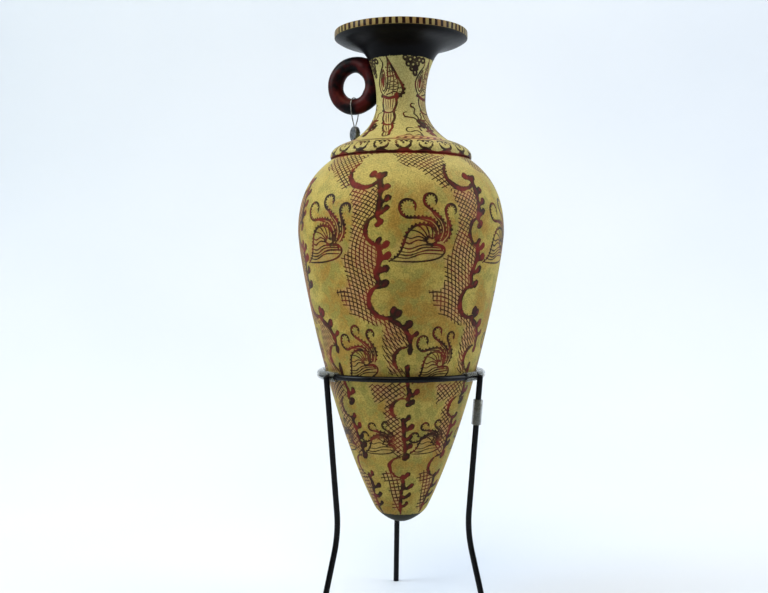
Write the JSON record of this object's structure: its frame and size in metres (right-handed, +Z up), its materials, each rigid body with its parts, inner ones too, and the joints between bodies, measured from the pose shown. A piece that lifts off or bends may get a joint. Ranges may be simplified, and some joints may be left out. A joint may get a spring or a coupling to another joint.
{
  "type": "rhyton",
  "caption": "Painted ovoid rhyton with a dished rim, moulded collar and ring handle, upright in a black rod tripod stand with clear tube pads and a small lead seal.",
  "frame": {"origin": "on the vessel's axis, at the level of the three feet's flat ends", "axes": "+Z up along the vessel's axis, -X towards the ring handle, the picture's camera at about azimuth -68.5 degrees"},
  "size_m": [0.1428, 0.1428, 0.3994],
  "materials": {
    "painted_clay": "satin",
    "black_rod": "gloss",
    "clear_tube": "gloss",
    "seal_wire": "satin",
    "seal_lead": "matte"
  },
  "bodies": {
    "root": {"rhyton": "painted_clay", "stand_ring": "black_rod", "stand_leg_back": "black_rod", "stand_leg_left": "black_rod", "stand_leg_right": "black_rod", "ring_sleeve_left": "clear_tube", "ring_sleeve_right": "clear_tube", "leg_sleeve": "clear_tube", "seal_wire": "seal_wire", "lead_seal": "seal_lead"}
  },
  "joints": []
}
